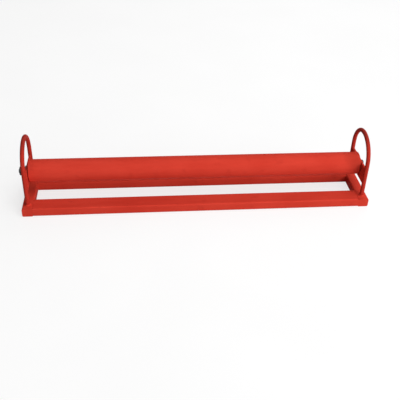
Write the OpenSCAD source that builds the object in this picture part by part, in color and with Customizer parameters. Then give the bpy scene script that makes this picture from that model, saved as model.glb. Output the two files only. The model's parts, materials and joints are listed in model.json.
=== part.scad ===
// Wide cable guide roller on a low welded base, with a round-bar hoop at each end.
// Millimetres. X runs along the roller, Y from front to back, Z up from the floor.
// X = 0 is the middle of the base, Y = 0 is the plane of the axle, Z = 0 is the floor.

/* [Roller] */
// Outside diameter of the roller tube
roller_d = 65; // [60:0.5:90]
// Wall of the roller tube
roller_wall = 3; // [2.5:0.5:4]
// Length of the roller tube
roller_len = 945; // [500:5:1400]
// Height of the roller's axis above the floor
axle_z = 94; // [70:1:112]
// Chamfer on the rims of the roller tube
rim_chamfer = 1; // [0.5:0.5:2]

/* [Base] */
// Depth of the base, front to back
base_depth = 180; // [150:5:260]
// Width of a rail, lying flat
rail_w = 50; // [30:1:60]
// Height of the rails and cross members
rail_h = 25; // [20:1:30]
// Width of a cross member
cross_w = 30; // [24:1:50]
// Wall of the rails and cross members
section_wall = 2.5; // [2:0.5:4]
// Outside corner radius of the rails and cross members
section_r = 4; // [3.5:0.5:6]
// Thickness of the plates that close the cross members
cap_t = 3; // [2:0.5:6]

/* [Hoops] */
// Diameter of the hoop's bar
bar_d = 12; // [8:0.5:16]
// Distance between the centre lines of the hoop's legs
hoop_w = 134; // [110:1:140]
// Height of the hoop's top above the floor
hoop_top = 200; // [190:1:320]

/* [Axle] */
// Diameter of the axle
axle_d = 17; // [16.5:0.5:20]
// Diameter of the thread at the axle's left end
thread_d = 16; // [12:0.5:16]
// Depth of the thread
thread_depth = 1.1; // [0.8:0.1:1.4]
// Distance inside the strap's outer face at which the thread starts
thread_back = 1; // [0.5:0.5:3]
// Length of axle that shows beyond the nut
axle_tip = 2.5; // [2:0.5:15]
// Length of axle that shows beyond the right strap
axle_end = 10; // [5:0.5:20]
// Chamfer on both ends of the axle
tip_chamfer = 1.5; // [0.5:0.5:2]
// Width of the nut across its flats
nut_af = 24; // [22:0.5:30]
// Thickness of the nut
nut_t = 16; // [8:0.5:20]
// Diameter of the washer
washer_d = 30; // [26:0.5:36]
// Thickness of the washer
washer_t = 3; // [1.5:0.5:4]
// Thickness of the ring that holds the axle at the right strap
axle_ring_t = 1; // [1:0.25:2]
// Depth of that ring's groove
axle_groove = 0.4; // [0.3:0.1:1]
// Width of that ring, along the radius
axle_ring_w = 2.3; // [2:0.1:3]

/* [Straps] */
// Height of the flat strap that carries the axle
strap_h = 50; // [40:1:56]
// Thickness of the strap
strap_t = 5; // [4:0.5:6]
// Distance of the strap's middle below the axle
strap_drop = 9; // [0:0.5:10]
// Gap between the roller's end and the strap
strap_gap = 2; // [1:0.5:10]

/* [Bearings] */
// Outside diameter of the ball bearing
bearing_od = 40; // [38:0.5:46]
// Width of the ball bearing
bearing_w = 12; // [11:0.5:16]
// Diameter of a ball
ball_d = 6.75; // [6:0.25:7]
// Number of balls in a bearing
ball_count = 8; // [6:1:8]
// Depth of the hub's face inside the roller's end
hub_recess = 4; // [2:0.5:12]
// Thickness of the lip that stops the bearing in the hub
lip_t = 3; // [2:0.5:6]
// Thickness of the snap ring that keeps the bearing in the hub
ring_t = 1.75; // [1.5:0.25:2.5]
// Depth of the snap ring's groove
groove_depth = 1.25; // [1:0.25:2]
// How far the snap ring stands inside the bearing's seat
snap_ring_in = 2; // [1.5:0.25:2.5]
// Width of the hub's land outside the snap ring
land_t = 1.25; // [1:0.25:4]
// Thickness of a bearing's seal
seal_t = 0.7; // [0.5:0.1:1]
// Depth of the step that holds the seal
seal_seat = 0.8; // [0.5:0.1:1.2]
// Thickness of the cage, along the radius
cage_t = 2; // [1:0.25:3]
// Width of cage left on each side of a ball
cage_rim = 1; // [0.75:0.25:1.25]

/* [Fits] */
// Radial gap of a seat that stays put
seat_gap = 0.02; // [0.01:0.01:0.1]
// Gap between a ball and its groove, and at a seal's lip
run_gap = 0.05; // [0.02:0.01:0.1]
// Radial gap of a drilled hole round the axle
hole_gap = 0.2; // [0.1:0.05:0.5]
// Gap between a spring ring and the bottom of its groove
groove_gap = 0.15; // [0.05:0.05:0.25]
// Gap between the coped strap and the hoop's leg
weld_gap = 0.02; // [0.01:0.01:0.5]
// Gap between a ball and its pocket in the cage
pocket_gap = 0.15; // [0.05:0.05:0.3]

/* [Hidden] */
$fn = 96;

roller_r = roller_d / 2;
tube_bore_r = roller_r - roller_wall;
roller_end_x = roller_len / 2;

// The strap stands in the plane of the hoop, and the hoop on the middle of the cross member
strap_in_x = roller_end_x + strap_gap;
strap_out_x = strap_in_x + strap_t;
cross_mid_x = strap_in_x + strap_t / 2;
cross_in_x = cross_mid_x - cross_w / 2;
rail_mid_y = base_depth / 2 - rail_w / 2;
section_in_r = max(section_r - section_wall, 0.5);

bar_r = bar_d / 2;
leg_y = hoop_w / 2;
arch_z = hoop_top - bar_r - leg_y;

strap_end_y = leg_y - bar_r / 3;
strap_low_z = axle_z - strap_drop - strap_h / 2;

axle_r = axle_d / 2;
thread_r = thread_d / 2;
thread_root_r = thread_r - thread_depth;
nut_in_x = strap_out_x + washer_t;
axle_tip_x = nut_in_x + nut_t + axle_tip;
axle_end_x = strap_out_x + axle_end;
axle_ring_x = strap_out_x + seat_gap;

// Bearing section, from the axle outwards
pitch_r = (axle_d + bearing_od) / 4;
ball_r = ball_d / 2;
race_r = ball_r + run_gap;
inner_race_r = pitch_r - 0.3 * ball_d;
outer_race_r = pitch_r + 0.3 * ball_d;
cage_w = ball_d + 2 * cage_rim;

// Stations along X inside the roller's end
hub_out_x = roller_end_x - hub_recess;
ring_x = hub_out_x - land_t - ring_t;
bearing_out_x = ring_x - seat_gap;
bearing_mid_x = bearing_out_x - bearing_w / 2;
bearing_in_x = bearing_out_x - bearing_w;
hub_in_x = bearing_in_x - seat_gap - lip_t;
hub_bore_r = bearing_od / 2 + seat_gap;
lip_r = outer_race_r + 1;
sleeve_r = inner_race_r - 0.6;

// Distance of a spring ring's lugs from the ring's edge
lug_inset = 0.7;

paint = [0.76, 0.16, 0.13];
bright_steel = [0.62, 0.63, 0.65];
black_steel = [0.10, 0.10, 0.11];
rubber = [0.07, 0.07, 0.07];

// Points of a rectangle with round corners, centred on the origin
function round_rect(w, h, r, steps = 6) = [
    for (corner = [0:3], i = [0:steps])
        let (a = 90 * corner + 90 * i / steps,
             cx = (corner == 0 || corner == 3 ? 1 : -1) * (w / 2 - r),
             cy = (corner < 2 ? 1 : -1) * (h / 2 - r))
        [cx + r * cos(a), cy + r * sin(a)]
];

// A left-hand piece is the mirror image of the right-hand one
module on_left() {
    mirror([1, 0, 0]) children();
}

// Turns a profile of [radius, x] points about the roller's axis
module turned(profile) {
    translate([0, 0, axle_z]) rotate([0, 90, 0]) rotate_extrude() polygon(profile);
}

// A plain tube on the roller's axis, from x0 to x1
module sleeve(r_in, r_out, x0, x1) {
    turned([[r_in, x0], [r_out, x0], [r_out, x1], [r_in, x1]]);
}

// A plain rod on the roller's axis, from x0 to x1
module rod(r, x0, x1) {
    translate([x0, 0, axle_z]) rotate([0, 90, 0]) cylinder(r = r, h = x1 - x0);
}

// The groove that the balls run in
module ball_track() {
    translate([bearing_mid_x, 0, axle_z]) rotate([0, 90, 0])
        rotate_extrude() translate([pitch_r, 0]) circle(r = race_r);
}

// One sphere at each ball's place
module at_balls(r) {
    for (i = [0:ball_count - 1])
        translate([bearing_mid_x, 0, axle_z])
            rotate([360 * i / ball_count, 0, 0])
                translate([0, 0, pitch_r]) sphere(r = r);
}

module hollow_section(w, h, length) {
    linear_extrude(length) difference() {
        polygon(round_rect(w, h, section_r));
        polygon(round_rect(w - 2 * section_wall, h - 2 * section_wall, section_in_r));
    }
}

module rail(y) {
    color(paint) translate([-cross_in_x, y, rail_h / 2])
        rotate([90, 0, 90]) hollow_section(rail_w, rail_h, 2 * cross_in_x);
}

module cross_member() {
    color(paint) translate([cross_mid_x, base_depth / 2 - cap_t, rail_h / 2])
        rotate([90, 0, 0]) hollow_section(cross_w, rail_h, base_depth - 2 * cap_t);
}

module end_caps() {
    color(paint)
        for (y = [-base_depth / 2 + cap_t, base_depth / 2])
            translate([cross_mid_x, y, rail_h / 2])
                rotate([90, 0, 0]) linear_extrude(cap_t) polygon(round_rect(cross_w, rail_h, section_r));
}

module hoop_leg(y, r) {
    translate([cross_mid_x, y, rail_h]) cylinder(r = r, h = arch_z - rail_h);
}

module hoop() {
    color(paint) union() {
        hoop_leg(-leg_y, bar_r);
        hoop_leg(leg_y, bar_r);
        translate([cross_mid_x, 0, arch_z]) rotate([90, 0, 90])
            rotate_extrude(angle = 180) translate([leg_y, 0]) circle(r = bar_r);
    }
}

// Flat bar across the hoop, coped to its legs and drilled for the axle
module axle_strap() {
    color(paint) difference() {
        translate([strap_in_x, -strap_end_y, strap_low_z])
            cube([strap_t, 2 * strap_end_y, strap_h]);
        hoop_leg(-leg_y, bar_r + weld_gap);
        hoop_leg(leg_y, bar_r + weld_gap);
        rod(axle_r + hole_gap, strap_in_x - 1, strap_out_x + 1);
    }
}

// Plain bar, grooved outside the right strap and turned down to the thread's root at its left end
module axle() {
    groove_r = axle_r - axle_groove;
    groove_out_x = axle_ring_x + axle_ring_t + seat_gap;
    color(black_steel) turned([
        [0, -axle_tip_x],
        [thread_root_r - tip_chamfer, -axle_tip_x],
        [thread_root_r, -axle_tip_x + tip_chamfer],
        [thread_root_r, -strap_out_x + thread_back],
        [axle_r, -strap_out_x + thread_back],
        [axle_r, strap_out_x],
        [groove_r, strap_out_x],
        [groove_r, groove_out_x],
        [axle_r, groove_out_x],
        [axle_r, axle_end_x - tip_chamfer],
        [axle_r - tip_chamfer, axle_end_x],
        [0, axle_end_x]
    ]);
}

// Open spring ring about the roller's axis, with an eye for the pliers in each of its two lugs
module spring_ring(r_in, r_out, x, t, lug_mid_r, lug_r) {
    gap_angle = 16;
    eye_r = 0.4 * lug_r;
    lug_angle = gap_angle / 2 + asin(lug_r / lug_mid_r);
    color(black_steel) translate([x, 0, axle_z]) rotate([0, 90, 0]) difference() {
        union() {
            rotate([0, 0, gap_angle / 2]) rotate_extrude(angle = 360 - gap_angle)
                translate([r_in, 0]) square([r_out - r_in, t]);
            for (side = [-1, 1])
                rotate([0, 0, side * lug_angle]) translate([lug_mid_r, 0, 0])
                    cylinder(r = lug_r, h = t);
        }
        for (side = [-1, 1])
            rotate([0, 0, side * lug_angle]) translate([lug_mid_r, 0, -1])
                cylinder(r = eye_r, h = t + 2);
    }
}

// Ring in the axle's groove, with its lugs outwards
module axle_ring() {
    r_in = axle_r - axle_groove + groove_gap;
    lug_r = 2;
    spring_ring(r_in, r_in + axle_ring_w, axle_ring_x, axle_ring_t, r_in + lug_r + lug_inset, lug_r);
}

module axle_washer() {
    color(black_steel) on_left()
        sleeve(thread_r + hole_gap, washer_d / 2, strap_out_x, nut_in_x);
}

// Hexagon nut with both faces chamfered
module axle_nut() {
    corner_r = nut_af / 2 / cos(30);
    flat_r = nut_af / 2;
    rise = (corner_r - flat_r) / 2;
    color(black_steel) on_left() difference() {
        intersection() {
            translate([nut_in_x, 0, axle_z]) rotate([0, 90, 0])
                cylinder(r = corner_r, h = nut_t, $fn = 6);
            turned([
                [0, nut_in_x],
                [flat_r, nut_in_x],
                [corner_r, nut_in_x + rise],
                [corner_r, nut_in_x + nut_t - rise],
                [flat_r, nut_in_x + nut_t],
                [0, nut_in_x + nut_t]
            ]);
        }
        rod(thread_root_r + seat_gap, nut_in_x - 1, nut_in_x + nut_t + 1);
    }
}

// Sleeve between a bearing's inner ring and the strap
module spacer() {
    color(bright_steel) sleeve(axle_r + seat_gap, sleeve_r, bearing_out_x, strap_in_x);
}

// Long sleeve that keeps the two inner rings apart
module distance_sleeve() {
    color(bright_steel) sleeve(axle_r + seat_gap, sleeve_r, -bearing_in_x, bearing_in_x);
}

module roller_tube() {
    color(paint) turned([
        [tube_bore_r, -roller_end_x],
        [roller_r - rim_chamfer, -roller_end_x],
        [roller_r, -roller_end_x + rim_chamfer],
        [roller_r, roller_end_x - rim_chamfer],
        [roller_r - rim_chamfer, roller_end_x],
        [tube_bore_r, roller_end_x]
    ]);
}

// Disc welded into the roller's end, bored for the bearing and grooved for its snap ring
module hub() {
    hub_r = tube_bore_r - seat_gap;
    groove_r = hub_bore_r + groove_depth;
    color(paint) turned([
        [lip_r, hub_in_x],
        [hub_r, hub_in_x],
        [hub_r, hub_out_x],
        [hub_bore_r, hub_out_x],
        [hub_bore_r, ring_x + ring_t + seat_gap],
        [groove_r, ring_x + ring_t + seat_gap],
        [groove_r, ring_x - seat_gap],
        [hub_bore_r, ring_x - seat_gap],
        [hub_bore_r, bearing_in_x - seat_gap],
        [lip_r, bearing_in_x - seat_gap]
    ]);
}

// Outer ring with a step at each side for its seal
module bearing_outer_ring() {
    step_r = outer_race_r + seal_seat;
    step_x = bearing_w / 2 - seal_t;
    color(bright_steel) difference() {
        turned([
            [step_r, bearing_in_x],
            [bearing_od / 2, bearing_in_x],
            [bearing_od / 2, bearing_out_x],
            [step_r, bearing_out_x],
            [step_r, bearing_mid_x + step_x],
            [outer_race_r, bearing_mid_x + step_x],
            [outer_race_r, bearing_mid_x - step_x],
            [step_r, bearing_mid_x - step_x]
        ]);
        ball_track();
    }
}

module bearing_inner_ring() {
    color(bright_steel) difference() {
        sleeve(axle_r + seat_gap, inner_race_r, bearing_in_x, bearing_out_x);
        ball_track();
    }
}

module bearing_balls() {
    color(bright_steel) at_balls(ball_r);
}

// Ring between the races with a round pocket for each ball
module bearing_cage() {
    color(bright_steel) difference() {
        sleeve(pitch_r - cage_t / 2, pitch_r + cage_t / 2,
               bearing_mid_x - cage_w / 2, bearing_mid_x + cage_w / 2);
        at_balls(ball_r + pocket_gap);
    }
}

// Thin rings that close the bearing on both sides
module bearing_seals() {
    lip_in_r = inner_race_r + run_gap;
    seal_out_r = outer_race_r + seal_seat - seat_gap;
    color(rubber) {
        sleeve(lip_in_r, seal_out_r, bearing_in_x, bearing_in_x + seal_t);
        sleeve(lip_in_r, seal_out_r, bearing_out_x - seal_t, bearing_out_x);
    }
}

// Ring in the hub's groove, with its lugs inwards
module snap_ring() {
    r_out = hub_bore_r + groove_depth - groove_gap;
    lug_r = 3;
    spring_ring(hub_bore_r - snap_ring_in, r_out, ring_x, ring_t, r_out - lug_r - lug_inset, lug_r);
}

rail(-rail_mid_y);  // front_rail
rail(rail_mid_y);  // rear_rail
on_left() cross_member();  // left_cross_member
cross_member();  // right_cross_member
on_left() end_caps();  // left_end_caps
end_caps();  // right_end_caps
on_left() hoop();  // left_hoop
hoop();  // right_hoop
on_left() axle_strap();  // left_axle_strap
axle_strap();  // right_axle_strap
axle();
axle_ring();
axle_washer();
axle_nut();
on_left() spacer();  // left_spacer
spacer();  // right_spacer
distance_sleeve();
roller_tube();
on_left() hub();  // left_hub
hub();  // right_hub
on_left() bearing_outer_ring();  // left_bearing_outer_ring
bearing_outer_ring();  // right_bearing_outer_ring
on_left() bearing_inner_ring();  // left_bearing_inner_ring
bearing_inner_ring();  // right_bearing_inner_ring
on_left() bearing_balls();  // left_bearing_balls
bearing_balls();  // right_bearing_balls
on_left() bearing_cage();  // left_bearing_cage
bearing_cage();  // right_bearing_cage
on_left() bearing_seals();  // left_bearing_seals
bearing_seals();  // right_bearing_seals
on_left() snap_ring();  // left_snap_ring
snap_ring();  // right_snap_ring
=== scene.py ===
"""Wide cable guide roller in red paint, on a pale floor, seen from above its front edge.

Every size is in metres, in the part's own frame: X along the roller, Y to the back, Z up from the floor.
"""

import json
import math

import bpy
from mathutils import Matrix, Vector


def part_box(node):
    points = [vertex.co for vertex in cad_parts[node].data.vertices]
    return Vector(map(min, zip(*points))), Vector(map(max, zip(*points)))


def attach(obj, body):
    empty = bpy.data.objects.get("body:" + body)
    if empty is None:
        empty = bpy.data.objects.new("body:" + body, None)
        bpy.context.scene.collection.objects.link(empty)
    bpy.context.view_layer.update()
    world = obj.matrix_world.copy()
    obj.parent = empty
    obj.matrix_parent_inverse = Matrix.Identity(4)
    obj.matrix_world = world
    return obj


# Paint, metal and rubber, as linear colours, and how dark and dull stains leave the bare steel
RED_PAINT = (0.58, 0.041, 0.024)
RED_PAINT_FADED = (0.64, 0.052, 0.031)
RED_PAINT_DEEP = (0.40, 0.025, 0.016)
# The hoops' reds are the red paint made darker, as painted shade on the thin bars
HOOP_SHADED_RED = (0.45, 0.030, 0.018)
HOOP_SHADED_RED_FADED = (0.47, 0.033, 0.021)
UNDERCOAT = (0.16, 0.022, 0.016)
BLACK_OXIDE = (0.012, 0.012, 0.014)
BLACK_OXIDE_RUBBED = (0.055, 0.053, 0.052)
TURNED_STEEL = (0.40, 0.39, 0.38)
GROUND_STEEL = (0.56, 0.56, 0.57)
STEEL_STAIN = 0.55
STEEL_STAIN_ROUGHNESS = 0.15
SEAL_RUBBER = (0.016, 0.016, 0.017)
SEAL_DUST = (0.06, 0.055, 0.05)

# Paint film: its specular level and roughness, how far grime darkens it, what grime and chips add to the
# roughness, and the depth of its chips and skin
PAINT_SHINE = 0.008
PAINT_ROUGHNESS = 0.44
PAINT_ROUGHNESS_FADED = 0.54
GRIME_SHARE = 0.3
GRIME_ROUGHNESS = 0.12
CHIP_ROUGHNESS = 0.2
CHIP_DEPTH = 2.0
SKIN_HEIGHT = 0.00012

# Scale of the streaks in the paint: a small number draws them out along that axis
ROLLER_STREAKS = (0.12, 1.0, 1.0)
RAIL_STREAKS = (0.15, 1.0, 1.0)
CROSS_STREAKS = (1.0, 0.3, 1.0)
HOOP_STREAKS = (1.0, 1.0, 0.3)
WELD_STREAKS = (1.0, 1.0, 1.0)

# Chips: the level at which unworn paint breaks, how far wear lowers it, the softness of a chip's rim
CHIP_LEVEL = 0.40
CHIP_WEAR = 0.2
CHIP_RIM = 0.05

# Wear of each kind of piece, how far in from an edge, rim or crown it reaches, how strong it is on a crown
# and how far painted shade darkens the paint at the top of the hoops' arch
BAR_WEAR = 0.45
BAR_EDGE_WIDTH = 0.0035
ROLLER_WEAR = 0.38
ROLLER_RIM_WIDTH = 0.004
HOOP_WEAR = 0.45
HOOP_CROWN_HEIGHT = 0.03
HOOP_CROWN_MASK = 0.75
HOOP_CROWN_SHADE = 0.6
WELD_WEAR = 0.4

# Weld beads: radius at each joint, sides, width of the ends as a share, and ripples
FOOT_BEAD_R = 0.0026
STRAP_BEAD_R = 0.0022
SEAM_BEAD_R = 0.0019
HUB_BEAD_R = 0.0019
BEAD_SIDES = 10
BEAD_TIP = 0.5
RIPPLE_PITCH = 0.0024
RIPPLE_DEPTH = 0.22
FEWEST_RIPPLES = 4
SMOOTH_ANGLE = math.radians(60)

# Where the beads lie: how far off the joint, and how far short of a corner they stop
RING_BEAD_SHIFT = 0.0006
STRAP_BEAD_GAP = 0.001
SEAM_BEAD_GAP = 0.004
SEAM_BEAD_LIFT = 0.005
SEAM_TOP_SINK = 0.0026
SEAM_CORNER_SHIFT = 0.0004

# Thread on the axle's free end: pitch, outer radius, size of its tooth, plain part before it, steps a turn
THREAD_PITCH = 0.002
THREAD_R = 0.008
THREAD_TOOTH = 0.0008
THREAD_LEAD = 0.0012
THREAD_STEPS = 48

# Floor and room: the floor's colour as seen and as it throws light back, and the glow of what is seen
WHITE = (1.0, 1.0, 1.0)
FLOOR_SIDE = 30.0
FLOOR_PALE = (0.23, 0.23, 0.23)
FLOOR_PALER = (0.245, 0.245, 0.245)
FLOOR_BOUNCE = (0.50, 0.50, 0.50)
FLOOR_ROUGHNESS = 0.8
FLOOR_GLOW = 0.735
ROOM_LIGHT = 0.12
ROOM_GLOW = 0.74

# Square lamps that face the object: name, place, side and watts
LAMPS = (
    ("key", (3.3, -4.0, 2.2), 2.4, 130.0),
    ("fill", (1.4, -4.4, 1.1), 2.0, 62.0),
    ("overhead", (1.0, -0.5, 3.0), 2.4, 58.0),
    ("rear", (1.4, 3.4, 2.8), 2.4, 42.0),
)

# Camera, from a fit to the edges of the photographed roller, base and hoops
CAMERA_PLACE = (-0.1671, -1.6014, 1.0788)
CAMERA_LENS = 59.05
CAMERA_SENSOR = 36.0
CAMERA_PITCH = math.radians(34.36)
CAMERA_YAW = math.radians(6.37)
CAMERA_ROLL = math.radians(-1.92)


def group_tree(name, inputs, outputs):
    """A shader node group with named sockets, and its two end nodes."""
    tree = bpy.data.node_groups.new(name, "ShaderNodeTree")
    for socket, kind in inputs:
        tree.interface.new_socket(socket, in_out="INPUT", socket_type=kind)
    for socket, kind in outputs:
        tree.interface.new_socket(socket, in_out="OUTPUT", socket_type=kind)
    return tree, tree.nodes.new("NodeGroupInput"), tree.nodes.new("NodeGroupOutput")


def put(tree, socket, value):
    """Links value to the socket if it is a socket, and otherwise sets it."""
    if isinstance(value, bpy.types.NodeSocket):
        tree.links.new(value, socket)
    elif isinstance(value, tuple) and socket.type == "RGBA":
        socket.default_value = (*value, 1.0)
    else:
        socket.default_value = value


def math_node(tree, operation, first, second=0.0):
    node = tree.nodes.new("ShaderNodeMath")
    node.operation = operation
    put(tree, node.inputs[0], first)
    put(tree, node.inputs[1], second)
    return node.outputs[0]


def add_share(tree, base, extra, share):
    """base plus a share of extra."""
    return math_node(tree, "ADD", base, math_node(tree, "MULTIPLY", extra, share))


def vector_node(tree, operation, first, second=(0.0, 0.0, 0.0)):
    node = tree.nodes.new("ShaderNodeVectorMath")
    node.operation = operation
    put(tree, node.inputs[0], first)
    put(tree, node.inputs[1], second)
    return node.outputs[0]


def split(tree, vector):
    """The node that gives a vector's X, Y and Z."""
    node = tree.nodes.new("ShaderNodeSeparateXYZ")
    put(tree, node.inputs[0], vector)
    return node


def ramp(tree, value, low, high, to_low=0.0, to_high=1.0):
    """Maps value smoothly from low..high to to_low..to_high."""
    node = tree.nodes.new("ShaderNodeMapRange")
    node.interpolation_type = "SMOOTHSTEP"
    for socket, number in zip(node.inputs[:5], (value, low, high, to_low, to_high)):
        put(tree, socket, number)
    return node.outputs[0]


def mix_colours(tree, share, first, second):
    node = tree.nodes.new("ShaderNodeMix")
    node.data_type = "RGBA"
    put(tree, node.inputs["Factor"], share)
    put(tree, node.inputs[6], first)
    put(tree, node.inputs[7], second)
    return node.outputs[2]


def noise(tree, position, scale, detail, dimensions="3D"):
    node = tree.nodes.new("ShaderNodeTexNoise")
    node.noise_dimensions = dimensions
    put(tree, node.inputs["W" if dimensions == "1D" else "Vector"], position)
    put(tree, node.inputs["Scale"], scale)
    put(tree, node.inputs["Detail"], detail)
    return node.outputs[0]


def use_group(tree, group, **values):
    """Places a group and fills its inputs, whose names are written here with underscores."""
    node = tree.nodes.new("ShaderNodeGroup")
    node.node_tree = group
    for name, value in values.items():
        put(tree, node.inputs[name.replace("_", " ")], value)
    return node


def make_paint_film():
    """Slow drift of the colour, streaks, patches of grime and the orange-peel skin of sprayed paint."""
    tree, start, end = group_tree(
        "paint film",
        [("Position", "NodeSocketVector"), ("Streak scale", "NodeSocketVector")],
        [("Drift", "NodeSocketFloat"), ("Grime", "NodeSocketFloat"), ("Skin", "NodeSocketFloat")],
    )
    position = start.outputs["Position"]
    streaked = vector_node(tree, "MULTIPLY", position, start.outputs["Streak scale"])
    broad = noise(tree, position, scale=7.0, detail=3.0)
    streaks = noise(tree, streaked, scale=55.0, detail=4.0)
    drift = add_share(tree, math_node(tree, "MULTIPLY", broad, 0.6), streaks, 0.4)
    put(tree, end.inputs["Drift"], ramp(tree, drift, low=0.34, high=0.66))
    patches = noise(tree, position, scale=38.0, detail=6.0)
    put(tree, end.inputs["Grime"], ramp(tree, patches, low=0.56, high=0.78))
    peel = noise(tree, position, scale=420.0, detail=1.0)
    ripple = noise(tree, position, scale=90.0, detail=2.0)
    put(tree, end.inputs["Skin"], add_share(tree, peel, ripple, 0.7))
    return tree


def make_bar_edges():
    """1 along the edges of a straight bar and its mirror images, fading over the edge width."""
    tree, start, end = group_tree(
        "bar edges",
        [
            ("Position", "NodeSocketVector"),
            ("Centre", "NodeSocketVector"),
            ("Half size", "NodeSocketVector"),
            ("Edge width", "NodeSocketFloat"),
        ],
        [("Mask", "NodeSocketFloat")],
    )
    mirrored = vector_node(tree, "ABSOLUTE", start.outputs["Position"])
    reach = vector_node(tree, "ABSOLUTE", vector_node(tree, "SUBTRACT", mirrored, start.outputs["Centre"]))
    inside = split(tree, vector_node(tree, "SUBTRACT", start.outputs["Half size"], reach))
    near = [ramp(tree, side, start.outputs["Edge width"], 0.0) for side in inside.outputs]
    pairs = [math_node(tree, "MULTIPLY", near[i], near[(i + 1) % 3]) for i in range(3)]
    widest = math_node(tree, "MAXIMUM", math_node(tree, "MAXIMUM", pairs[0], pairs[1]), pairs[2])
    put(tree, end.inputs["Mask"], widest)
    return tree


def make_chips():
    """Breaks a mask of rubbed places up into small chips."""
    tree, start, end = group_tree(
        "chips",
        [("Position", "NodeSocketVector"), ("Where", "NodeSocketFloat"), ("Wear", "NodeSocketFloat")],
        [("Mask", "NodeSocketFloat")],
    )
    position = start.outputs["Position"]
    broad = noise(tree, position, scale=26.0, detail=2.0)
    fine = noise(tree, position, scale=340.0, detail=4.0)
    level = math_node(tree, "MULTIPLY", math_node(tree, "MULTIPLY", broad, fine), start.outputs["Where"])
    limit = add_share(tree, CHIP_LEVEL, start.outputs["Wear"], -CHIP_WEAR)
    put(tree, end.inputs["Mask"], ramp(tree, level, limit, math_node(tree, "ADD", limit, CHIP_RIM)))
    return tree


def make_axle_distance():
    """How far a point is along the roller's axis and out from it."""
    tree, start, end = group_tree(
        "axle distance",
        [("Position", "NodeSocketVector"), ("Axis height", "NodeSocketFloat")],
        [("Along", "NodeSocketFloat"), ("Radius", "NodeSocketFloat")],
    )
    parts = split(tree, start.outputs["Position"])
    rise = math_node(tree, "SUBTRACT", parts.outputs["Z"], start.outputs["Axis height"])
    rise_square = math_node(tree, "MULTIPLY", rise, rise)
    depth_square = math_node(tree, "MULTIPLY", parts.outputs["Y"], parts.outputs["Y"])
    put(tree, end.inputs["Along"], parts.outputs["X"])
    radius = math_node(tree, "SQRT", math_node(tree, "ADD", rise_square, depth_square))
    put(tree, end.inputs["Radius"], radius)
    return tree


def make_lathe_lines(axle_distance):
    """Fine rings left by turning, round the axis and across the faces."""
    tree, start, end = group_tree(
        "lathe lines",
        [
            ("Position", "NodeSocketVector"),
            ("Axis height", "NodeSocketFloat"),
            ("Lines", "NodeSocketFloat"),
        ],
        [("Height", "NodeSocketFloat"), ("Tone", "NodeSocketFloat")],
    )
    position = start.outputs["Position"]
    place = use_group(tree, axle_distance, Position=position, Axis_height=start.outputs["Axis height"])
    sweep = math_node(tree, "ADD", place.outputs["Along"], place.outputs["Radius"])
    lines = noise(tree, sweep, start.outputs["Lines"], detail=3.0, dimensions="1D")
    put(tree, end.inputs["Height"], lines)
    stain = noise(tree, position, scale=45.0, detail=5.0)
    tone = math_node(tree, "MULTIPLY", ramp(tree, lines, low=0.3, high=0.7), stain)
    put(tree, end.inputs["Tone"], tone)
    return tree


def new_material(name):
    """An empty procedural material: its tree, its shader and the position on the object."""
    material = bpy.data.materials.new(name)
    material.use_nodes = True
    tree = material.node_tree
    position = tree.nodes.new("ShaderNodeTexCoord").outputs["Object"]
    return material, tree, tree.nodes["Principled BSDF"], position


def add_bump(tree, shader, height, distance):
    bump = tree.nodes.new("ShaderNodeBump")
    bump.inputs["Strength"].default_value = 1.0
    bump.inputs["Distance"].default_value = distance
    put(tree, bump.inputs["Height"], height)
    put(tree, shader.inputs["Normal"], bump.outputs["Normal"])


def worn_red_paint(name, streak_scale, rubbed, wear, reds=(RED_PAINT, RED_PAINT_FADED), shade_share=0.0):
    """Sprayed red paint, dulled by use.

    rubbed(tree, position) gives the mask of the places that get worn, wear says how much of it has
    chipped, and the last argument how far painted shade darkens the paint there, towards the undercoat.
    """
    material, tree, shader, position = new_material(name)
    film = use_group(tree, PAINT_FILM, Position=position, Streak_scale=streak_scale)
    wear_and_shade = rubbed(tree, position)
    chipped = use_group(tree, CHIPS, Position=position, Where=wear_and_shade, Wear=wear).outputs["Mask"]

    colour = mix_colours(tree, film.outputs["Drift"], *reds)
    grime = math_node(tree, "MULTIPLY", film.outputs["Grime"], GRIME_SHARE)
    colour = mix_colours(tree, grime, colour, RED_PAINT_DEEP)
    # Painted shade: the paint is darkened towards the undercoat where the mask is, on the hoops at the top
    # of the arch
    if shade_share:
        colour = mix_colours(tree, math_node(tree, "MULTIPLY", wear_and_shade, shade_share), colour, UNDERCOAT)
    put(tree, shader.inputs["Base Color"], mix_colours(tree, chipped, colour, UNDERCOAT))

    shader.inputs["Specular IOR Level"].default_value = PAINT_SHINE
    dulled = ramp(tree, film.outputs["Drift"], 0.0, 1.0, PAINT_ROUGHNESS, PAINT_ROUGHNESS_FADED)
    dulled = add_share(tree, dulled, film.outputs["Grime"], GRIME_ROUGHNESS)
    dulled = add_share(tree, dulled, chipped, CHIP_ROUGHNESS)
    put(tree, shader.inputs["Roughness"], dulled)
    add_bump(tree, shader, add_share(tree, film.outputs["Skin"], chipped, -CHIP_DEPTH), SKIN_HEIGHT)
    return material


def bar_paint(name, node, streak_scale):
    """Paint of a straight bar and its mirror images, chipped along the edges."""
    low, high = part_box(node)
    centre = (low + high) / 2
    centre = (abs(centre.x), abs(centre.y), centre.z)
    half = tuple((high - low) / 2)

    def bar_edges(tree, position):
        edges = use_group(
            tree, BAR_EDGES, Position=position, Centre=centre, Half_size=half, Edge_width=BAR_EDGE_WIDTH
        )
        return edges.outputs["Mask"]

    return worn_red_paint(name, streak_scale, bar_edges, BAR_WEAR)


def roller_paint():
    """Paint of the roller, chipped at its rims."""
    end_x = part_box("roller_tube")[1].x

    def rims(tree, position):
        place = use_group(tree, AXLE_DISTANCE, Position=position, Axis_height=AXLE_Z)
        along = math_node(tree, "ABSOLUTE", place.outputs["Along"])
        return ramp(tree, along, end_x - ROLLER_RIM_WIDTH, end_x)

    return worn_red_paint("roller red paint", ROLLER_STREAKS, rims, ROLLER_WEAR)


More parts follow.
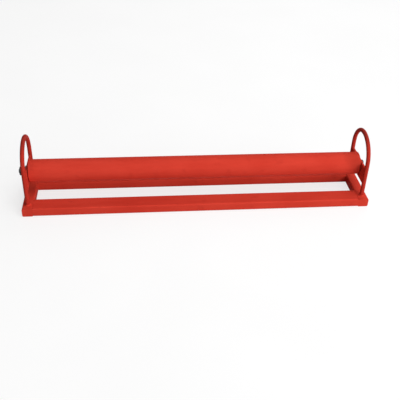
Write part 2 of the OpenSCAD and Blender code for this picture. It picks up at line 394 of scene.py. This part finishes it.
def hoop_paint():
    """Paint of the bent bars, a darker red as painted shade on the thin bars, chipped at the top of the
    arch and darkened there as painted shade.
    """
    top_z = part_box("right_hoop")[1].z

    def crown(tree, position):
        height = split(tree, position).outputs["Z"]
        return ramp(tree, height, top_z - HOOP_CROWN_HEIGHT, top_z, 0.0, HOOP_CROWN_MASK)

    reds = (HOOP_SHADED_RED, HOOP_SHADED_RED_FADED)
    return worn_red_paint("hoop red paint", HOOP_STREAKS, crown, HOOP_WEAR, reds, HOOP_CROWN_SHADE)


def weld_paint():
    """Paint over the weld beads, with patches that may chip."""

    def bare_places(tree, position):
        patches = noise(tree, position, scale=150.0, detail=2.0)
        return ramp(tree, patches, low=0.55, high=0.8, to_high=0.6)

    return worn_red_paint("weld red paint", WELD_STREAKS, bare_places, WELD_WEAR)


def black_oxide():
    """Oiled black steel, rubbed grey in places."""
    material, tree, shader, position = new_material("black oxide steel")
    lathe = use_group(tree, LATHE_LINES, Position=position, Axis_height=AXLE_Z, Lines=900.0)
    rubbed = ramp(tree, noise(tree, position, scale=120.0, detail=5.0), low=0.52, high=0.72)
    put(tree, shader.inputs["Base Color"], mix_colours(tree, rubbed, BLACK_OXIDE, BLACK_OXIDE_RUBBED))
    put(tree, shader.inputs["Roughness"], ramp(tree, rubbed, 0.0, 1.0, to_low=0.42, to_high=0.6))
    shader.inputs["Metallic"].default_value = 0.6
    add_bump(tree, shader, lathe.outputs["Height"], distance=0.00004)
    return material


def lathe_steel(name, colour, lines, roughness, line_depth):
    """Bare turned or ground steel, darker and duller where it is stained."""
    material, tree, shader, position = new_material(name)
    lathe = use_group(tree, LATHE_LINES, Position=position, Axis_height=AXLE_Z, Lines=lines)
    tone = lathe.outputs["Tone"]
    stained = tuple(STEEL_STAIN * channel for channel in colour)
    put(tree, shader.inputs["Base Color"], mix_colours(tree, tone, colour, stained))
    dullest = roughness + STEEL_STAIN_ROUGHNESS
    dulled = ramp(tree, tone, low=0.0, high=0.6, to_low=roughness, to_high=dullest)
    put(tree, shader.inputs["Roughness"], dulled)
    shader.inputs["Metallic"].default_value = 1.0
    add_bump(tree, shader, lathe.outputs["Height"], line_depth)
    return material


def seal_rubber():
    """Moulded black rubber with faint rings and some dust."""
    material, tree, shader, position = new_material("seal rubber")
    lathe = use_group(tree, LATHE_LINES, Position=position, Axis_height=AXLE_Z, Lines=700.0)
    dust = ramp(tree, noise(tree, position, scale=260.0, detail=5.0), low=0.5, high=0.8, to_high=0.5)
    put(tree, shader.inputs["Base Color"], mix_colours(tree, dust, SEAL_RUBBER, SEAL_DUST))
    put(tree, shader.inputs["Roughness"], ramp(tree, dust, 0.0, 0.5, to_low=0.55, to_high=0.8))
    add_bump(tree, shader, lathe.outputs["Height"], distance=0.00008)
    return material


def paint_nodes(material, *names):
    for name in names:
        for slot in nodes[name].material_slots:
            slot.material = material


def both_sides(piece):
    return f"left_{piece}", f"right_{piece}"


def finish_piece(name, material, body):
    """Names the active object, fixes its place in its mesh, and gives it its finish and its body."""
    piece = bpy.context.object
    piece.name = name
    piece.data.name = name
    bpy.ops.object.transform_apply(location=True, rotation=True, scale=True)
    bpy.ops.object.shade_smooth_by_angle(angle=SMOOTH_ANGLE)
    piece.data.materials.append(material)
    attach(piece, body)


def select_by(wanted):
    """Selects the active object's vertices for which wanted(place) holds, and stays in edit mode."""
    bpy.ops.object.mode_set(mode="EDIT")
    bpy.ops.mesh.select_mode(type="VERT")
    bpy.ops.mesh.select_all(action="DESELECT")
    bpy.ops.object.mode_set(mode="OBJECT")
    for vertex in bpy.context.object.data.vertices:
        vertex.select = wanted(vertex.co)
    bpy.ops.object.mode_set(mode="EDIT")


def ring_bead(name, centre, turn, ring_r, bead_r, material, body):
    """A weld bead all round a joint: a torus whose every second ring is drawn in to make the ripples."""
    ripples = round(2 * math.pi * ring_r / RIPPLE_PITCH)
    bpy.ops.object.select_all(action="DESELECT")
    bpy.ops.mesh.primitive_torus_add(
        location=centre,
        rotation=turn,
        major_radius=ring_r,
        minor_radius=bead_r,
        major_segments=2 * ripples,
        minor_segments=BEAD_SIDES,
    )
    step = math.pi / ripples
    select_by(lambda co: round(math.atan2(co.y, co.x) / step) % 2 == 1)
    bpy.ops.transform.shrink_fatten(value=-RIPPLE_DEPTH * bead_r)
    bpy.ops.object.mode_set(mode="OBJECT")
    finish_piece(name, material, body)


def straight_bead(name, start, end, bead_r, material, body):
    """A weld bead along a straight joint: a disc drawn out in steps, each second one narrower."""
    run = Vector(end) - Vector(start)
    ripples = max(FEWEST_RIPPLES, round(run.length / RIPPLE_PITCH))
    step = run.length / (2 * ripples)
    narrow = 1.0 - RIPPLE_DEPTH
    bpy.ops.object.select_all(action="DESELECT")
    bpy.ops.mesh.primitive_circle_add(vertices=BEAD_SIDES, radius=BEAD_TIP * bead_r, fill_type="NGON")
    bpy.ops.object.mode_set(mode="EDIT")
    bpy.ops.mesh.select_all(action="SELECT")
    widths = [narrow if i % 2 else 1.0 for i in range(2 * ripples)]
    widths[-1] = BEAD_TIP
    width = BEAD_TIP
    for wanted in widths:
        bpy.ops.mesh.extrude_region_move(TRANSFORM_OT_translate={"value": (0, 0, step)})
        bpy.ops.transform.resize(value=(wanted / width, wanted / width, 1.0))
        width = wanted
    bpy.ops.mesh.select_all(action="SELECT")
    bpy.ops.mesh.normals_make_consistent(inside=False)
    bpy.ops.object.mode_set(mode="OBJECT")
    piece = bpy.context.object
    piece.location = start
    piece.rotation_euler = run.to_track_quat("Z", "Y").to_euler()
    finish_piece(name, material, body)


def weld_hoops(material):
    """Beads round the feet of the hoops and along the ends of the axle straps."""
    for side in ("left", "right"):
        low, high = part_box(f"{side}_hoop")
        strap_low, strap_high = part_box(f"{side}_axle_strap")
        bar_r = (high.x - low.x) / 2
        mid_x = (high.x + low.x) / 2
        strap_t = strap_high.x - strap_low.x
        joint_reach = math.sqrt(bar_r**2 - (strap_t / 2) ** 2)
        bead_low = strap_low.z + STRAP_BEAD_GAP
        bead_high = strap_high.z - STRAP_BEAD_GAP
        for end, leg_y in (("front", low.y + bar_r), ("rear", high.y - bar_r)):
            name = f"{side}_{end}"
            foot = (mid_x, leg_y, low.z)
            foot_r = bar_r + RING_BEAD_SHIFT
            ring_bead(f"{name}_foot_weld", foot, (0, 0, 0), foot_r, FOOT_BEAD_R, material, "frame")
            inward = 1 if leg_y < 0 else -1
            joint_y = leg_y + inward * joint_reach
            for face, x in (("left", strap_low.x), ("right", strap_high.x)):
                start = (x, joint_y, bead_low)
                stop = (x, joint_y, bead_high)
                straight_bead(f"{name}_strap_{face}_weld", start, stop, STRAP_BEAD_R, material, "frame")


def weld_base(material):
    """Beads where the rails meet the cross members: across the top, and down the rails' inner faces."""
    for side in ("left", "right"):
        cross_low, cross_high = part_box(f"{side}_cross_member")
        seam_x = cross_low.x if side == "right" else cross_high.x
        into_rail = -1 if side == "right" else 1
        corner_x = seam_x + into_rail * SEAM_CORNER_SHIFT
        for end in ("front", "rear"):
            low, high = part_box(f"{end}_rail")
            top_z = high.z - SEAM_TOP_SINK
            outer_y = low.y if end == "front" else high.y
            inner_y = high.y if end == "front" else low.y
            inward = 1 if end == "front" else -1
            name = f"{side}_{end}_seam"
            start = (seam_x, outer_y + inward * SEAM_BEAD_GAP, top_z)
            stop = (seam_x, inner_y - inward * SEAM_BEAD_GAP, top_z)
            straight_bead(f"{name}_top_weld", start, stop, SEAM_BEAD_R, material, "frame")
            start = (corner_x, inner_y, SEAM_BEAD_LIFT)
            stop = (corner_x, inner_y, high.z - SEAM_BEAD_GAP)
            straight_bead(f"{name}_inner_weld", start, stop, SEAM_BEAD_R, material, "frame")


def weld_hubs(material):
    """Beads that join the hub discs to the roller tube, inside its ends."""
    across = (0, math.pi / 2, 0)
    for side in ("left", "right"):
        low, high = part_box(f"{side}_hub")
        face_x = high.x if side == "right" else low.x
        ring_r = (high.z - low.z) / 2 - RING_BEAD_SHIFT
        centre = (face_x, 0, AXLE_Z)
        ring_bead(f"{side}_hub_weld", centre, across, ring_r, HUB_BEAD_R, material, "roller")


def cut_thread(material):
    """The thread on the axle's free end, a triangle wound into a helix that runs one turn into the nut."""
    nut_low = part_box("axle_nut")[0]
    tip_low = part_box("axle")[0]
    length = nut_low.x - tip_low.x - THREAD_LEAD + THREAD_PITCH
    turns = length / THREAD_PITCH
    bpy.ops.object.select_all(action="DESELECT")
    bpy.ops.mesh.primitive_circle_add(vertices=3, radius=THREAD_TOOTH, location=(0, 0, 0))
    bpy.ops.object.mode_set(mode="EDIT")
    bpy.ops.mesh.select_all(action="SELECT")
    bpy.ops.transform.translate(value=(0, THREAD_R - THREAD_TOOTH, 0))
    bpy.ops.object.mode_set(mode="OBJECT")
    piece = bpy.context.object
    screw = piece.modifiers.new("thread", "SCREW")
    screw.axis = "X"
    screw.angle = 2 * math.pi * turns
    screw.screw_offset = length
    screw.steps = round(THREAD_STEPS * turns)
    screw.render_steps = screw.steps
    bpy.ops.object.modifier_apply(modifier=screw.name)
    piece.location = (tip_low.x + THREAD_LEAD, 0, AXLE_Z)
    finish_piece("axle_thread", material, "frame")


def seen_mask(tree):
    """1 where the camera sees the surface, itself or in a reflection, and 0 where it only lights others."""
    ray = tree.nodes.new("ShaderNodeLightPath")
    seen = math_node(tree, "MAXIMUM", ray.outputs["Is Camera Ray"], ray.outputs["Is Glossy Ray"])
    return math_node(tree, "MAXIMUM", seen, ray.outputs["Is Transmission Ray"])


def make_floor():
    """A wide pale floor that keeps the object's shadow, and looks whiter than it is lit."""
    bpy.ops.object.select_all(action="DESELECT")
    bpy.ops.mesh.primitive_plane_add(size=FLOOR_SIDE)
    floor = bpy.context.object
    floor.name = "floor"
    material, tree, shader, position = new_material("pale floor")
    seen = seen_mask(tree)
    clouds = ramp(tree, noise(tree, position, scale=3.0, detail=2.0), low=0.3, high=0.7)
    pale = mix_colours(tree, clouds, FLOOR_PALE, FLOOR_PALER)
    put(tree, shader.inputs["Base Color"], mix_colours(tree, seen, FLOOR_BOUNCE, pale))
    shader.inputs["Roughness"].default_value = FLOOR_ROUGHNESS
    put(tree, shader.inputs["Emission Color"], WHITE)
    put(tree, shader.inputs["Emission Strength"], math_node(tree, "MULTIPLY", seen, FLOOR_GLOW))
    floor.data.materials.append(material)


def make_lamp(name, place, side, watts):
    """A square lamp that faces the object and isn't seen itself."""
    lamp = bpy.data.lights.new(name, "AREA")
    lamp.size = side
    lamp.energy = watts
    holder = bpy.data.objects.new(name, lamp)
    holder.visible_camera = False
    holder.location = place
    holder.rotation_euler = (-holder.location).to_track_quat("-Z", "Y").to_euler()
    bpy.context.scene.collection.objects.link(holder)


def make_light():
    """A pale room, which looks brighter than it lights, and the lamps."""
    world = bpy.context.scene.world or bpy.data.worlds.new("room")
    bpy.context.scene.world = world
    world.use_nodes = True
    tree = world.node_tree
    room = tree.nodes["Background"]
    put(tree, room.inputs["Color"], WHITE)
    put(tree, room.inputs["Strength"], add_share(tree, ROOM_LIGHT, seen_mask(tree), ROOM_GLOW))
    for lamp in LAMPS:
        make_lamp(*lamp)


def make_camera():
    """The photograph's viewpoint: pitched down, turned a little to the right and slightly rolled."""
    camera = bpy.data.objects.new("camera", bpy.data.cameras.new("camera"))
    camera.data.lens = CAMERA_LENS
    camera.data.sensor_width = CAMERA_SENSOR
    turn = Matrix.Rotation(-CAMERA_YAW, 4, "Z")
    tilt = Matrix.Rotation(math.pi / 2 - CAMERA_PITCH, 4, "X")
    roll = Matrix.Rotation(-CAMERA_ROLL, 4, "Z")
    camera.matrix_world = Matrix.Translation(CAMERA_PLACE) @ turn @ tilt @ roll
    bpy.context.scene.collection.objects.link(camera)
    bpy.context.scene.camera = camera


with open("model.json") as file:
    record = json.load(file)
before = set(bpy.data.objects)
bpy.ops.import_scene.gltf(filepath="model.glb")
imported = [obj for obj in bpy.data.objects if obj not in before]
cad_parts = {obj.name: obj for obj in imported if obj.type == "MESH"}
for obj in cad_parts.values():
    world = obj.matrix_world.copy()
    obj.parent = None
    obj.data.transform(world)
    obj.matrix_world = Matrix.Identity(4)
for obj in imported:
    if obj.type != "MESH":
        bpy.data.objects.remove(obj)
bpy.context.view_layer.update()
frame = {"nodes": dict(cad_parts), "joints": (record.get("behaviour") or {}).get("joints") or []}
nodes = frame["nodes"]
AXLE_Z = frame["joints"][0]["pos_m"][2]

PAINT_FILM = make_paint_film()
BAR_EDGES = make_bar_edges()
CHIPS = make_chips()
AXLE_DISTANCE = make_axle_distance()
LATHE_LINES = make_lathe_lines(AXLE_DISTANCE)

paint_nodes(roller_paint(), "roller_tube", *both_sides("hub"))
paint_nodes(bar_paint("rail red paint", "rear_rail", RAIL_STREAKS), "front_rail", "rear_rail")
paint_nodes(
    bar_paint("cross member red paint", "right_cross_member", CROSS_STREAKS),
    *both_sides("cross_member"),
    *both_sides("end_caps"),
)
paint_nodes(bar_paint("strap red paint", "right_axle_strap", CROSS_STREAKS), *both_sides("axle_strap"))
paint_nodes(hoop_paint(), *both_sides("hoop"))
oxide = black_oxide()
paint_nodes(oxide, "axle", "axle_ring", "axle_washer", "axle_nut", *both_sides("snap_ring"))
turned = lathe_steel("turned steel", TURNED_STEEL, lines=1500.0, roughness=0.32, line_depth=0.00005)
paint_nodes(turned, "distance_sleeve", *both_sides("spacer"))
ground = lathe_steel("ground bearing steel", GROUND_STEEL, lines=4000.0, roughness=0.18, line_depth=0.00001)
for piece in ("inner_ring", "outer_ring", "balls", "cage"):
    paint_nodes(ground, *both_sides(f"bearing_{piece}"))
paint_nodes(seal_rubber(), *both_sides("bearing_seals"))

bead_paint = weld_paint()
weld_hoops(bead_paint)
weld_base(bead_paint)
weld_hubs(bead_paint)
cut_thread(oxide)

make_floor()
make_light()
make_camera()
bpy.context.scene.view_settings.view_transform = "Standard"
